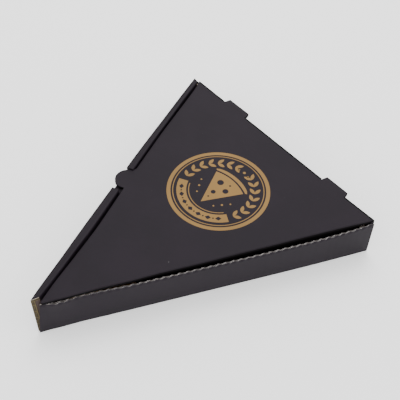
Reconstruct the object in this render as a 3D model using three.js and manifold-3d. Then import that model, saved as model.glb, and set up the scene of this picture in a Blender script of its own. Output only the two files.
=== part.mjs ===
// Pizza slice box: a wedge-shaped takeaway box folded from one sheet of corrugated board.
// Millimetres, +Z up. The tip points along -Y and the lid turns on the rear wall at +Y.
import * as THREE from 'three';
import { mergeVertices } from 'three/addons/utils/BufferGeometryUtils.js';
import Module from 'manifold-3d';

const wasm = await Module();
wasm.setup();

// Driving dimensions of the wedge
const SIDE = 285; // each long side, from the tip corner to a rear corner
const REAR_WIDTH = 231; // the rear side, corner to corner
const BOARD = 3; // thickness of the corrugated board
const LID_TOP = 41; // upper face of the closed lid
const ROLL_TOP = 42.5; // upper face of the rolled-over left wall
const RIGHT_TOP = 37.6; // raw upper edge of the single right wall

// The rolled-over left wall: outer layer, top strip and inner layer
const ROLL_WIDTH = 6.5; // over both layers
const ROLL_LIFT = 0.4; // between the inner layer and the floor
const ROLL_REAR_GAP = 9; // from the inner layer to the rear face of the box
const ROLL_END_INSET = 0.8; // its open end lies this far inside the right wall's face

// How far the creased walls bulge outwards at half length
const RIGHT_BOW_TOP = 3.4;
const RIGHT_BOW_FOOT = 1.2;
const LEFT_BOW_TOP = 1.6;
const LEFT_BOW_FOOT = 0.6;
const BOW_POWER = 4;
const BOW_STEPS = 20;

// Right wall's end at the tip is cut on a slant
const END_CUT = 8; // set back of its upper corner

// Hinge crease between the rear wall and the lid
const HINGE_GAP = 0.3;
const MITRE_SHIFT = HINGE_GAP * Math.SQRT1_2;

// Two tabs of the lid stand out past the crease, each cut out of the rear wall
const LEFT_TAB_X = -58;
const LEFT_TAB_WIDTH = 28;
const LEFT_TAB_REACH = 7.4;
const RIGHT_TAB_X = 68;
const RIGHT_TAB_WIDTH = 26.5;
const RIGHT_TAB_REACH = 5.2;
const TAB_SLANT = 1.4; // each side of a tab leans in by this much
const TAB_SLOT_SIDE = 0.6;
const TAB_SLOT_BELOW = 0.6;

// Lid edges, as distance along the side from the tip and distance in from its face
const LID_RIGHT_REAR_GAP = 1.5; // from the rear corner
const LID_RIGHT_REAR_W = 0.6;
const LID_RIGHT_BEND_GAP = 23;
const LID_RIGHT_BEND_W = 2;
const LID_RIGHT_FRONT_S = 72;
const LID_RIGHT_FRONT_W = 0.5;
const LID_RIGHT_KINK_S = 55;
const LID_RIGHT_KINK_W = -0.8;
const LID_RIGHT_TIP_W = -1.6;
const LID_LEFT_REAR_GAP = 7;
const LID_LEFT_REAR_W = 7.4;
const LID_LEFT_STEP_GAP = 3.1; // from the thumb tab
const LID_LEFT_STEP_W = 6.5;
const LID_LEFT_FRONT_W = 8.4;
const LID_TIP_WIDTH = 0.54; // the lid's tip is cut off where it is this wide

// Tuck flaps folded down from the lid's long edges
const FLAP_DEPTH = 24;
const FLAP_REAR_DEPTH = 10;
const FLAP_REAR_GAP = 35; // from the rear corner
const FLAP_TAPER = 110; // length over which the flap deepens
const RIGHT_FLAP_TIP_S = 76;
const LEFT_FLAP_TIP_S = 34;
const FLAP_TIP_SLANT = 14;
const FLAP_LEAN = THREE.MathUtils.degToRad(6);
const FLAP_SET = 0.2; // a flap's crease lies this far inside the panel's edge and upper face

// Thumb tab of the lid, lying across a notch in the left wall
const THUMB_S = 142.5;
const THUMB_RADIUS = 10.4;
const THUMB_W = 4.4; // centre of its round end, in from the wall's face
const NOTCH_SIDE = 1.2;
const LID_REST = 0.4; // between the lid's underside and the walls below it

// Corner flaps folded in behind the rear wall
const CORNER_FLAP_LENGTH = 36;
const CORNER_FLAP_GAP = 0.6;
const CORNER_FLAP_DROP = 1; // from the rear slots down to the flaps' upper edge

// Locking tabs of the inner layer, in slots of the floor
const LOCK_LENGTH = 24;
const LOCK_PLACES = [85, 195];
const LOCK_CLEARANCE = 0.3;
const LOCK_INSET = 0.3;

// Corrugation that shows at the right wall's raw edge
const FLUTE_PITCH = 6.35;
const FLUTE_HALF = 2.2;
const FLUTE_DEPTH = 1.6;
const LINER = 0.45;

// Values worked out from those above
const HALF_ANGLE = Math.asin(REAR_WIDTH / 2 / SIDE);
const SIN = Math.sin(HALF_ANGLE);
const COS = Math.cos(HALF_ANGLE);
const REAR_Y = SIDE * COS;
const RIGHT = 1;
const LEFT = -1;
const BEYOND = 20; // how far cutting shapes pass the faces that they cut
const CURVE_STEPS = 16;
const REAR_TABS = [
  { x: LEFT_TAB_X, width: LEFT_TAB_WIDTH, reach: LEFT_TAB_REACH },
  { x: RIGHT_TAB_X, width: RIGHT_TAB_WIDTH, reach: RIGHT_TAB_REACH },
];
const TAB_REACH = Math.max(LEFT_TAB_REACH, RIGHT_TAB_REACH);
const TAB_SLOT_LOW = LID_TOP - Math.hypot(TAB_REACH, BOARD) - TAB_SLOT_BELOW;
const CORNER_FLAP_TOP = TAB_SLOT_LOW - CORNER_FLAP_DROP;
const LID_RIGHT_EDGE = [
  { s: SIDE - LID_RIGHT_REAR_GAP, w: LID_RIGHT_REAR_W },
  { s: SIDE - LID_RIGHT_BEND_GAP, w: LID_RIGHT_BEND_W },
  { s: LID_RIGHT_FRONT_S, w: LID_RIGHT_FRONT_W },
  { s: LID_RIGHT_KINK_S, w: LID_RIGHT_KINK_W },
];
const LID_LEFT_REAR = { s: SIDE - LID_LEFT_REAR_GAP, w: LID_LEFT_REAR_W };
const LID_LEFT_STEP = { s: THUMB_S + THUMB_RADIUS + LID_LEFT_STEP_GAP, w: LID_LEFT_STEP_W };
const LID_TIP_Y = (LID_LEFT_FRONT_W + LID_RIGHT_TIP_W + LID_TIP_WIDTH * COS) / (2 * SIN);
const FLAP_REAR_S = SIDE - FLAP_REAR_GAP;

// Point of the plan at s along a long side from the tip and w in from its face
const plan = (side, s, w) => new THREE.Vector2(side * (s * SIN - w * COS), s * COS + w * SIN);

// Outward bulge of a side wall, none at its two ends
const bowShare = (s) => 1 - Math.abs((2 * s) / SIDE - 1) ** BOW_POWER;
const bow = (side, s, z) => {
  const top = side === RIGHT ? RIGHT_BOW_TOP : LEFT_BOW_TOP;
  const foot = side === RIGHT ? RIGHT_BOW_FOOT : LEFT_BOW_FOOT;
  const height = side === RIGHT ? RIGHT_TOP : ROLL_TOP;
  return (foot + ((top - foot) * z) / height) * bowShare(s);
};

// Closed geometry to a solid that can be cut and joined, and back
function solid(geometry) {
  geometry.deleteAttribute('normal');
  geometry.deleteAttribute('uv');
  const merged = mergeVertices(geometry, 1e-5);
  return new wasm.Manifold(new wasm.Mesh({
    numProp: 3,
    vertProperties: new Float32Array(merged.attributes.position.array),
    triVerts: new Uint32Array(merged.index.array),
  }));
}

function geometryOf(body) {
  const mesh = body.getMesh();
  const geometry = new THREE.BufferGeometry();
  geometry.setAttribute('position', new THREE.BufferAttribute(mesh.vertProperties, 3));
  geometry.setIndex(new THREE.BufferAttribute(mesh.triVerts, 1));
  geometry.computeVertexNormals();
  return geometry;
}

const join = (parts) => parts.reduce((whole, part) => whole.add(part));
const cut = (body, cutters) => cutters.reduce((rest, cutter) => rest.subtract(cutter), body);

// Upright prism over an outline in plan
function prism(outline, low, high) {
  const shape = new THREE.Shape(outline);
  const options = { depth: high - low, bevelEnabled: false, curveSegments: CURVE_STEPS };
  return solid(new THREE.ExtrudeGeometry(shape, options).translate(0, 0, low));
}

// Prism along X over an outline in Y and Z
function crossPrism(outline, left, right) {
  const shape = new THREE.Shape(outline);
  const geometry = new THREE.ExtrudeGeometry(shape, { depth: right - left, bevelEnabled: false });
  const axes = new THREE.Matrix4().makeBasis(
    new THREE.Vector3(0, 1, 0),
    new THREE.Vector3(0, 0, 1),
    new THREE.Vector3(1, 0, 0),
  );
  return solid(geometry.applyMatrix4(axes).translate(left, 0, 0));
}

const block = (x0, x1, y0, y1, z0, z1) => solid(
  new THREE.BoxGeometry(x1 - x0, y1 - y0, z1 - z0)
    .translate((x0 + x1) / 2, (y0 + y1) / 2, (z0 + z1) / 2),
);

// The wedge in plan, each side moved out by its own amount
function wedge(leftOut, rightOut, rearOut) {
  const rear = REAR_Y + rearOut;
  return [
    new THREE.Vector2((rightOut - leftOut) / (2 * COS), -(leftOut + rightOut) / (2 * SIN)),
    new THREE.Vector2((rear * SIN + rightOut) / COS, rear),
    new THREE.Vector2(-(rear * SIN + leftOut) / COS, rear),
  ];
}

const within = (body, leftOut, rightOut, rearOut) => (
  body.intersect(prism(wedge(leftOut, rightOut, rearOut), -BEYOND, LID_TOP + BEYOND))
);

// Box given along one long side: s along it, w in from its face
function sideBlock(side, s0, s1, w0, w1, z0, z1) {
  const corners = [[s0, w0], [s1, w0], [s1, w1], [s0, w1]];
  return prism(corners.map(([s, w]) => plan(side, s, w)), z0, z1);
}

// Layer of a side wall, bulging with the wall
function bowedLayer(side, w0, w1, z0, z1) {
  const geometry = new THREE.BoxGeometry(SIDE, w1 - w0, z1 - z0, BOW_STEPS, 1, 2);
  geometry.translate(SIDE / 2, (w0 + w1) / 2, (z0 + z1) / 2);
  const place = geometry.attributes.position;
  for (let i = 0; i < place.count; i += 1) {
    const s = place.getX(i);
    const z = place.getZ(i);
    const w = side === RIGHT ? place.getY(i) : w0 + w1 - place.getY(i);
    const point = plan(side, s, w - bow(side, s, z));
    place.setXYZ(i, point.x, point.y, z);
  }
  return solid(geometry);
}

// Long edge of the floor, following the foot of its bulging wall
function footLine(side) {
  const points = [];
  for (let i = 1; i < BOW_STEPS; i += 1) {
    const s = (SIDE * i) / BOW_STEPS;
    points.push(plan(side, s, -bow(side, s, 0)));
  }
  return points;
}

function floorPanel() {
  const [tip, rearRight, rearLeft] = wedge(0, 0, 0);
  const outline = [tip, ...footLine(RIGHT), rearRight, rearLeft, ...footLine(LEFT).reverse()];
  const slotOuter = ROLL_WIDTH - BOARD - LOCK_CLEARANCE;
  const slotInner = ROLL_WIDTH + LOCK_CLEARANCE;
  const slots = LOCK_PLACES.map((s) => {
    const half = LOCK_LENGTH / 2 + LOCK_CLEARANCE;
    const out = bow(LEFT, s, 0);
    return sideBlock(LEFT, s - half, s + half, slotOuter - out, slotInner - out, -1, BOARD + 1);
  });
  return cut(prism(outline, 0, BOARD), slots);
}

// Open mouths of the corrugation in the raw edge, by turns next to either liner
function flutePockets() {
  const pockets = [];
  const count = Math.floor((SIDE - END_CUT) / FLUTE_PITCH);
  for (let i = 1; i < count; i += 1) {
    const middle = END_CUT + i * FLUTE_PITCH;
    const sides = [
      { s: middle, base: LINER, point: BOARD - 2 * LINER },
      { s: middle + FLUTE_PITCH / 2, base: BOARD - LINER, point: 2 * LINER },
    ];
    for (const { s, base, point } of sides) {
      const corners = [[s - FLUTE_HALF, base], [s + FLUTE_HALF, base], [s, point]];
      const out = bow(RIGHT, s, RIGHT_TOP);
      const outline = corners.map(([along, w]) => plan(RIGHT, along, w - out));
      pockets.push(prism(outline, RIGHT_TOP - FLUTE_DEPTH, RIGHT_TOP + 1));
    }
  }
  return pockets;
}

function rightWall() {
  const wall = within(bowedLayer(RIGHT, 0, BOARD, 0, RIGHT_TOP), 0, BEYOND, 0);
  // The slanted end is cut by a wedge that leans over the tip
  const slant = new THREE.Shape([
    new THREE.Vector2(-BEYOND, 0),
    new THREE.Vector2(0, 0),
    new THREE.Vector2(END_CUT * (1 + 1 / RIGHT_TOP), RIGHT_TOP + 1),
    new THREE.Vector2(-BEYOND, RIGHT_TOP + 1),
  ]);
  const reach = 2 * BEYOND;
  const geometry = new THREE.ExtrudeGeometry(slant, { depth: reach, bevelEnabled: false });
  geometry.rotateX(Math.PI / 2).translate(0, BEYOND, 0);
  geometry.rotateZ(Math.PI / 2 - HALF_ANGLE);
  return cut(wall, [solid(geometry), ...flutePockets()]);
}

function leftWall() {
  const inner = ROLL_WIDTH - BOARD;
  const outerLayer = bowedLayer(LEFT, 0, BOARD, 0, ROLL_TOP);
  const strip = bowedLayer(LEFT, 0, ROLL_WIDTH, ROLL_TOP - BOARD, ROLL_TOP);
  const innerLayer = bowedLayer(LEFT, inner, ROLL_WIDTH, BOARD + ROLL_LIFT, ROLL_TOP);
  const locks = LOCK_PLACES.map((s) => {
    const half = LOCK_LENGTH / 2;
    const out = bow(LEFT, s, 0);
    const top = BOARD + ROLL_LIFT + 1;
    return sideBlock(LEFT, s - half, s + half, inner - out, ROLL_WIDTH - out, LOCK_INSET, top);
  });
  const half = THUMB_RADIUS + NOTCH_SIDE;
  const notchFloor = LID_TOP - BOARD - LID_REST;
  const notch = sideBlock(
    LEFT, THUMB_S - half, THUMB_S + half, -BEYOND, BEYOND, notchFloor, ROLL_TOP + 1,
  );
  const outside = within(join([outerLayer, strip]), BEYOND, -ROLL_END_INSET, 0);
  const inside = within(join([innerLayer, ...locks]), BEYOND, -ROLL_END_INSET, -ROLL_REAR_GAP);
  return cut(join([outside, inside]), [notch]);
}

function rearWall() {
  const outline = [
    new THREE.Vector2(REAR_Y, 0),
    new THREE.Vector2(REAR_Y, LID_TOP - MITRE_SHIFT),
    new THREE.Vector2(REAR_Y - BOARD, LID_TOP - MITRE_SHIFT - BOARD),
    new THREE.Vector2(REAR_Y - BOARD, 0),
  ];
  const wall = within(crossPrism(outline, -REAR_WIDTH, REAR_WIDTH), 0, 0, 0);
  const slots = REAR_TABS.map((tab) => {
    const half = tab.width / 2 + TAB_SLOT_SIDE;
    const front = REAR_Y - 2 * BOARD;
    return block(tab.x - half, tab.x + half, front, REAR_Y + 1, TAB_SLOT_LOW, LID_TOP + 1);
  });
  // Under the rolled strip's end the wall stays low
  const belowStrip = sideBlock(
    LEFT, SIDE - BEYOND, SIDE + BEYOND, -1, LID_LEFT_REAR.w - LID_REST, ROLL_TOP - BOARD, LID_TOP + 1,
  );
  return cut(wall, [...slots, belowStrip]);
}

function cornerFlaps() {
  const back = REAR_Y - BOARD - CORNER_FLAP_GAP;
  const front = back - BOARD;
  return [LEFT, RIGHT].map((side) => {
    const outerX = side * (REAR_WIDTH / 2);
    const innerX = side * (REAR_WIDTH / 2 - CORNER_FLAP_LENGTH);
    const low = Math.min(outerX, innerX);
    const high = Math.max(outerX, innerX);
    const flap = block(low, high, front, back, BOARD + CORNER_FLAP_GAP, CORNER_FLAP_TOP);
    return within(flap, -1, -1, 0);
  });
}

// Tuck flap that hangs from one lid edge, given as two points of that edge
function tuckFlap(side, rear, front, depths) {
  const from = plan(side, rear.s, rear.w + FLAP_SET);
  const to = plan(side, front.s, front.w + FLAP_SET);
  const along = to.clone().sub(from).normalize();
  const inward = new THREE.Vector2(-along.y, along.x).multiplyScalar(-side);
  const shape = new THREE.Shape(depths.map(([x, depth]) => new THREE.Vector2(x, -depth)));
  const geometry = new THREE.ExtrudeGeometry(shape, { depth: BOARD, bevelEnabled: false });
  // Local Z points inward on the right and outward on the left, with the outer face at 0
  if (side === LEFT) geometry.translate(0, 0, -BOARD);
  geometry.rotateX(-side * FLAP_LEAN);
  const axes = new THREE.Matrix4().makeBasis(
    new THREE.Vector3(along.x, along.y, 0),
    new THREE.Vector3(0, 0, 1),
    new THREE.Vector3(inward.x, inward.y, 0).multiplyScalar(side),
  );
  const roof = LID_TOP - FLAP_SET;
  axes.setPosition(from.x, from.y, roof);
  const trim = block(-SIDE, SIDE, -BEYOND, REAR_Y + BEYOND, 0, roof);
  return solid(geometry.applyMatrix4(axes)).intersect(trim);
}

// Depth of a flap along its crease, deeper away from the hinge
function flapOutline(length, start) {
  const startDepth = THREE.MathUtils.lerp(
    FLAP_REAR_DEPTH, FLAP_DEPTH, Math.min(1, start / FLAP_TAPER),
  );
  const deepAt = Math.max(0, FLAP_TAPER - start);
  const points = [[0, 0], [0, startDepth]];
  if (deepAt > 0 && deepAt < length) points.push([deepAt, FLAP_DEPTH]);
  points.push([length - FLAP_TIP_SLANT, FLAP_DEPTH], [length, 0]);
  return points;
}

function lidPanel() {
  const right = LID_RIGHT_EDGE.map(({ s, w }) => plan(RIGHT, s, w));
  const rearRight = new THREE.Vector2(right[0].x, REAR_Y);
  const leftRear = plan(LEFT, LID_LEFT_REAR.s, LID_LEFT_REAR.w);
  const rearLeft = new THREE.Vector2(leftRear.x, REAR_Y);
  const leftStep = plan(LEFT, LID_LEFT_STEP.s, LID_LEFT_STEP.w);
  const leftFront = plan(LEFT, THUMB_S - THUMB_RADIUS, LID_LEFT_FRONT_W);
  const tipLeft = new THREE.Vector2((LID_LEFT_FRONT_W - LID_TIP_Y * SIN) / COS, LID_TIP_Y);
  const tipRight = new THREE.Vector2((LID_TIP_Y * SIN - LID_RIGHT_TIP_W) / COS, LID_TIP_Y);
  const outline = [rearRight, rearLeft, leftRear, leftStep, leftFront, tipLeft, tipRight];
  const panel = prism([...outline, ...right.reverse()], LID_TOP - BOARD, LID_TOP);
  const below = LID_TOP - BOARD - 1;
  const mitre = [
    new THREE.Vector2(REAR_Y - BOARD - MITRE_SHIFT - 1, below),
    new THREE.Vector2(REAR_Y + 1, below),
    new THREE.Vector2(REAR_Y + 1, LID_TOP + 1 + MITRE_SHIFT),
  ];
  return cut(panel, [crossPrism(mitre, -REAR_WIDTH, REAR_WIDTH)]);
}

function lidRearTabs() {
  return REAR_TABS.map(({ x, width, reach }) => {
    const half = width / 2;
    const root = REAR_Y - 2 * BOARD;
    return prism([
      new THREE.Vector2(x - half, root),
      new THREE.Vector2(x + half, root),
      new THREE.Vector2(x + half, REAR_Y),
      new THREE.Vector2(x + half - TAB_SLANT, REAR_Y + reach),
      new THREE.Vector2(x - half + TAB_SLANT, REAR_Y + reach),
      new THREE.Vector2(x - half, REAR_Y),
    ], LID_TOP - BOARD, LID_TOP);
  });
}

function thumbTab() {
  const root = LID_LEFT_FRONT_W + 1;
  const outline = [plan(LEFT, THUMB_S - THUMB_RADIUS, root)];
  for (let i = 0; i <= CURVE_STEPS; i += 1) {
    const turn = (Math.PI * i) / CURVE_STEPS;
    const s = THUMB_S - THUMB_RADIUS * Math.cos(turn);
    outline.push(plan(LEFT, s, THUMB_W - THUMB_RADIUS * Math.sin(turn)));
  }
  outline.push(plan(LEFT, THUMB_S + THUMB_RADIUS, root));
  return prism(outline, LID_TOP - BOARD, LID_TOP);
}

function lidFlaps() {
  const [, rightRear, rightFront] = LID_RIGHT_EDGE;
  const slope = (rightRear.w - rightFront.w) / (rightRear.s - rightFront.s);
  const onRight = (s) => ({ s, w: rightFront.w + slope * (s - rightFront.s) });
  const rightFlap = tuckFlap(
    RIGHT,
    onRight(FLAP_REAR_S),
    onRight(RIGHT_FLAP_TIP_S),
    flapOutline(FLAP_REAR_S - RIGHT_FLAP_TIP_S, 0),
  );
  const leftSlope = (LID_LEFT_REAR.w - LID_LEFT_STEP.w) / (LID_LEFT_REAR.s - LID_LEFT_STEP.s);
  const flapRear = { s: FLAP_REAR_S, w: LID_LEFT_STEP.w + leftSlope * (FLAP_REAR_S - LID_LEFT_STEP.s) };
  const behind = tuckFlap(
    LEFT,
    flapRear,
    LID_LEFT_STEP,
    [[0, 0], [0, FLAP_REAR_DEPTH], [FLAP_REAR_S - LID_LEFT_STEP.s, depthAt(LID_LEFT_STEP.s)],
      [FLAP_REAR_S - LID_LEFT_STEP.s, 0]],
  );
  const start = FLAP_REAR_S - LID_LEFT_STEP.s;
  const ahead = tuckFlap(
    LEFT,
    { s: LID_LEFT_STEP.s, w: LID_LEFT_FRONT_W },
    { s: LEFT_FLAP_TIP_S, w: LID_LEFT_FRONT_W },
    flapOutline(LID_LEFT_STEP.s - LEFT_FLAP_TIP_S, start),
  );
  return { rightFlap, leftFlap: join([behind, ahead]) };
}

function depthAt(s) {
  return THREE.MathUtils.lerp(
    FLAP_REAR_DEPTH, FLAP_DEPTH, Math.min(1, (FLAP_REAR_S - s) / FLAP_TAPER),
  );
}

function makeTray() {
  return join([floorPanel(), rightWall(), leftWall(), rearWall(), ...cornerFlaps()]);
}

function makeLid() {
  const { rightFlap, leftFlap } = lidFlaps();
  // The thumb tab was cut out of the left flap, which leaves a round gap in it
  const half = THUMB_RADIUS + LOCK_CLEARANCE;
  const gap = sideBlock(
    LEFT, THUMB_S - half, THUMB_S + half, -BEYOND, 2 * BEYOND,
    LID_TOP - BOARD - THUMB_RADIUS, LID_TOP - BOARD,
  );
  return join([lidPanel(), ...lidRearTabs(), thumbTab(), rightFlap, cut(leftFlap, [gap])]);
}

// The box's own frame has its origin under the middle of its outline
const LENGTH = REAR_Y + TAB_REACH;
const box = new THREE.Group();
box.position.set(0, -LENGTH / 2, 0);

const blackBoard = new THREE.MeshStandardMaterial({ color: 0x3a383c, roughness: 0.75, metalness: 0 });
const lidBoard = blackBoard.clone();

const tray = new THREE.Mesh(geometryOf(makeTray()), blackBoard);
tray.name = 'tray';
box.add(tray);

const lid = new THREE.Mesh(geometryOf(makeLid()), lidBoard);
lid.name = 'lid';
box.add(lid);

export default box;
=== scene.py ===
"""Pizza slice box: a wedge folded from one sheet of corrugated board, black outside, bare inside.

Metres, +Z up, the tip towards -Y. Each panel is cut as a flat board, then folded into place.
"""
import math

import bmesh
import bpy
from mathutils import Matrix, Vector


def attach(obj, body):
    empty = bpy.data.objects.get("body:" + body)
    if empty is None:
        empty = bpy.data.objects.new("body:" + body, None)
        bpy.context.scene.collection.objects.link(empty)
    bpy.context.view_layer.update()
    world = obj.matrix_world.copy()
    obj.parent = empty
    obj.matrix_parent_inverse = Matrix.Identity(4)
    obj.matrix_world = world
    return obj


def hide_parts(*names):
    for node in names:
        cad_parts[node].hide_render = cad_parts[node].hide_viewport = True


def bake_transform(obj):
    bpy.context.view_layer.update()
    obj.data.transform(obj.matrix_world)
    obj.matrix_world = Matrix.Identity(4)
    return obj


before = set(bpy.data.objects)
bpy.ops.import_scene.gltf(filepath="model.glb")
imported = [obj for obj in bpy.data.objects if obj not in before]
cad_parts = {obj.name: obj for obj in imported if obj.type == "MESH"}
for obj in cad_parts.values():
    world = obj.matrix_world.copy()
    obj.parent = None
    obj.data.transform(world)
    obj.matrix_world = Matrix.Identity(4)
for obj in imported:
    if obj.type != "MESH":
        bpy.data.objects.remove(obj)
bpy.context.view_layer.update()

MM = 0.001


def in_mm(*rows):
    """Rows of lengths that are written in millimetres."""
    return tuple(tuple(value * MM for value in row) for row in rows)


# The wedge and its board
SIDE = 285 * MM
REAR_WIDTH = 231 * MM
BOARD = 3 * MM
LID_TOP = 41 * MM
ROLL_TOP = 42.5 * MM
ROLL_WIDTH = 6.5 * MM
ROLL_LIFT = 0.4 * MM
ROLL_END_START = 0.2 * MM
ROLL_END_SLANT = 0.9
ROLL_FOLD_RADIUS = 0.6 * MM
ROLL_SQUEEZE = (
    (0, 0.7), (20 * MM, 0.86), (50 * MM, 0.98), (82 * MM, 1.13), (129 * MM, 1.03), (155 * MM, 0.97),
    (205 * MM, 0.81), (266 * MM, 0.72), (SIDE, 0.68),
)
RIGHT_TOP = 37.6 * MM
END_CUT = 5.4 * MM
END_START = 0.76 * MM
HALF_ANGLE = math.asin(REAR_WIDTH / 2 / SIDE)
SIN = math.sin(HALF_ANGLE)
COS = math.cos(HALF_ANGLE)
SIN_TIP = math.sin(2 * HALF_ANGLE)
COS_TIP = math.cos(2 * HALF_ANGLE)
REAR = SIDE * COS
RIGHT = 1
LEFT = -1

# Two tabs stand out past the hinge crease: middle, width and reach
REAR_TABS = in_mm((-58, 28, 7.4), (68, 26.5, 5.2))
TAB_REACH = max(reach for _, _, reach in REAR_TABS)
TAB_SLANT = 1.4 * MM
TAB_SLOT_SIDE = 0.6 * MM
TAB_SLOT_LOW = LID_TOP - math.hypot(TAB_REACH, BOARD) - 0.6 * MM
MIDDLE = (REAR + TAB_REACH) / 2
HINGE_GAP = 0.21 * MM
CORNER_MITRE = 1 / math.tan(math.pi / 4 - HALF_ANGLE / 2)

# The rear crease stands out a little towards the left
SKEW_OUT = 2.4 * MM
SKEW_X = (-109 * MM, 80 * MM)
SKEW_REACH = 70 * MM

# Lid edges, as distance along the side from the tip and distance in from its face
LID_RIGHT = in_mm(
    (283.5, 1), (276, 1.2), (263, 1.4), (236, 1.2), (201, 0.5), (166, 0.1), (133, -0.4), (100, -0.4),
    (76, -1.1), (52, -1), (37, -1.5), (25, -2),
)
LID_RIGHT_TIP = -2.3 * MM
LID_LEFT_REAR = (282 * MM, 5.8 * MM)
LID_LEFT_BACK = in_mm((266, 6.6), (205, 5.8))
LID_LEFT_STEP = (156 * MM, 5.9 * MM)
LID_LEFT_FRONT = in_mm((100, 7.6), (82, 7.8), (50, 6.6), (24, 5.3))
LID_LEFT_THUMB = 6.8 * MM
LID_TIP_CUT = 5.6 * MM
THUMB_S = 142.5 * MM
THUMB_RADIUS = 10.4 * MM
THUMB_W = 4.4 * MM
THUMB_STEPS = 24
NOTCH_SIDE = 4.8 * MM
NOTCH_STEPS = 16
LID_REST = 0.4 * MM
LEDGE = 0.75 * MM

# Tuck flaps
FLAP_DEPTH = 24 * MM
FLAP_REAR_DEPTH = 10 * MM
FLAP_REAR_S = 250 * MM
RIGHT_FLAP_REAR_S = 274 * MM
FLAP_TAPER = 110 * MM
RIGHT_FLAP_TIP = 76 * MM
LEFT_FLAP_TIP = 34 * MM
FLAP_TIP_SLANT = 14 * MM
FLAP_LEAN = math.radians(6)
FLAP_SET = 0.2 * MM
RIGHT_FLAP_W = (1.9 * MM, 0.6 * MM)
LEFT_FLAP_REAR_W = (7.4 * MM, 6.7 * MM)
LEFT_FLAP_W = (8.1 * MM, 7.4 * MM)

# Corner flaps and locking tabs
CORNER_FLAP_LENGTH = 36 * MM
CORNER_FLAP_GAP = 0.6 * MM
CORNER_FLAP_DROP = 1 * MM
CORNER_FLAP_SLANT = 4 * MM
LOCK_LENGTH = 24 * MM
LOCK_PLACES = (85 * MM, 195 * MM)
LOCK_CLEARANCE = 0.3 * MM

# How far the floor's cut edge stays inside the walls' faces
FLOOR_EDGE = 2.1 * MM

# Board: two liners with a corrugated sheet between them
LINER = 0.42 * MM
FLUTE_PAPER = 0.26 * MM
FLUTE_PITCH = 6.35 * MM
FLUTE_STEPS = 12
FLUTE_DROP = 0.1 * MM
FLUTE_SET_BACK = 0.2 * MM
FOLD_RADIUS = 1.1 * MM
LID_FOLD_RADIUS = 0.7 * MM
FOOT_RADIUS = 0.6 * MM
STRIP_RADIUS = 0.7 * MM
FOLD_STEPS = 3
SKIN = 0.12 * MM

# Paper of the crease: how far it reaches past the fold, and the number of steps of its bend
CREASE_REACH = 1.2 * MM
CREASE_STEPS = 6

# The right wall's raw edge is crushed thin and wavy
CRUSH_DEPTH = 4 * MM
CRUSH_WIDTH = ((0, 1.5 * MM), (16 * MM, 1.4 * MM), (34 * MM, 0.95 * MM), (SIDE, 0.95 * MM))
CRUSH_WAVE = 0.3 * MM
CRUSH_SAG = in_mm(
    (0, 0.5), (30, 0.8), (60, 1), (120, 1.3), (180, 1.7), (230, 1.8), (265, 1.5), (285, 0.3),
)
FLARE_DEPTH = 12 * MM
# Lengths of the right wall's inner liner painted with shade at the tip and in the rear corner
SHADE_TIP_LENGTH = 13 * MM
SHADE_REAR_LENGTH = 12 * MM
CRUSH_SLICES = (1, 0.8, 0.6, 0.4, 0.2)
FLARE_SLICES = (1, 0.8, 0.6, 0.45)
FOOT_SLICES = (0.08, 0.25, 0.5, 0.75, 1)

# How much further out than its bow a wall stands, by distance from the tip
RIGHT_TOP_SPREAD = in_mm(
    (0, 0.6), (5.4, 0.7), (9, 1), (17, 2.3), (24, 1.6), (36, -0.2), (52, -0.6), (75, 0), (285, 0),
)
RIGHT_FOOT_SPREAD = in_mm((0, 1.65), (12, 1), (40, 0), (285, 0))
LEFT_TOP_SPREAD = in_mm((0, 1.5), (50, 0.35), (157, 0), (243, -1.3), (285, -1.3))
LEFT_FOOT_SPREAD = in_mm((0, 0), (285, 0))

# Outward bulge of the long walls at half length
BOW_TOP = {RIGHT: 3.4 * MM, LEFT: 1.6 * MM}
BOW_FOOT = {RIGHT: 1.2 * MM, LEFT: 0.6 * MM}
WALL_TOP = {RIGHT: RIGHT_TOP, LEFT: ROLL_TOP}
SPREADS = {
    RIGHT: (RIGHT_TOP_SPREAD, RIGHT_FOOT_SPREAD),
    LEFT: (LEFT_TOP_SPREAD, LEFT_FOOT_SPREAD),
}
BOW_STEPS = 30
BOW_FLATNESS = 4
MITRE_SHARPNESS = 8

# Directions across the flutes on each panel of the one sheet, as folded
ACROSS_FLOOR = (SIN, COS)
ACROSS_LID = (SIN, -COS)
ACROSS_RIGHT = (1, 0)
ACROSS_LEFT = (COS_TIP, -SIN_TIP)

# Places of the finishes in each board's list
FINISH_COUNT = 5
# SHADE is the place of each board's painted shade
PRINT, KRAFT, RAW, FOLD, SHADE = range(FINISH_COUNT)

# Least share of a face's normal along an axis for it to face that way
MOSTLY = 0.5
SQUARELY = 0.8
TINY = 1e-6


# Places on the folded box

def plan(side, s, w, z=0.0):
    """Point s along a long side from the tip, w in from its face and z up."""
    return Vector((side * (s * SIN - w * COS), s * COS + w * SIN - MIDDLE, z))


def bow(side, s, z):
    """How far a long wall bulges outwards there."""
    share = 1 - abs(2 * s / SIDE - 1) ** BOW_FLATNESS
    foot = BOW_FOOT[side]
    return (foot + (BOW_TOP[side] - foot) * z / WALL_TOP[side]) * share


def read_off(table, s):
    """Value at s on the smooth line through a table's points."""
    for (s0, first), (s1, second) in zip(table, table[1:]):
        if s <= s1:
            share = max(0, (s - s0) / (s1 - s0))
            share = share * share * (3 - 2 * share)
            return first + (second - first) * share
    return table[-1][1]


def spread(side, s, z):
    """How much further out than its bow a long wall stands there."""
    high, low = SPREADS[side]
    return read_off(low, s) + (read_off(high, s) - read_off(low, s)) * (z / WALL_TOP[side]) ** 2


def wall_point(side, s, w, z):
    return plan(side, s, w - bow(side, s, z) - spread(side, s, z), z)


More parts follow.
